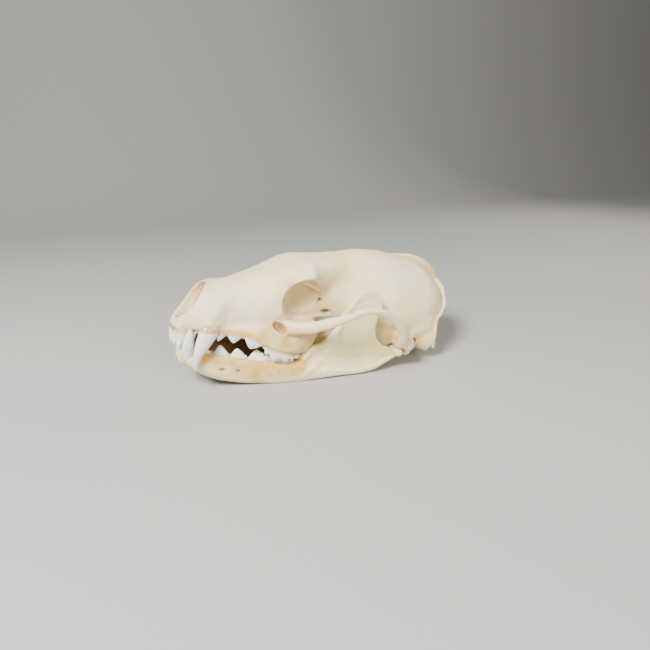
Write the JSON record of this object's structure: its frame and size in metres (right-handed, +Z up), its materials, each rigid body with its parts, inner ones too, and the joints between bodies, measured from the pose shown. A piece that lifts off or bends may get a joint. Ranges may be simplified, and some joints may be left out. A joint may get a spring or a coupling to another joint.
{
  "type": "fisher skull",
  "caption": "Life-size skull of a fisher: long low braincase, slender cheek arches, curved canines and a closed lower jaw in two halves, resting on the jaw's lower edge.",
  "frame": {"origin": "middle of the skull's footprint, on the surface that the lower jaw rests on", "axes": "-X towards the snout, +X towards the back of the head, -Y the animal's left side, +Z up; Y=0 is the middle plane"},
  "size_m": [0.1098, 0.0588, 0.0418],
  "materials": {
    "cranium_bone": "clean bleached bone, warm white, matt with a faint sheen",
    "jaw_bone": "clean bleached bone, warm white, matt with a faint sheen"
  },
  "bodies": {
    "root": {"cranium": "cranium_bone", "mandible_left": "jaw_bone", "mandible_right": "jaw_bone"}
  },
  "joints": []
}
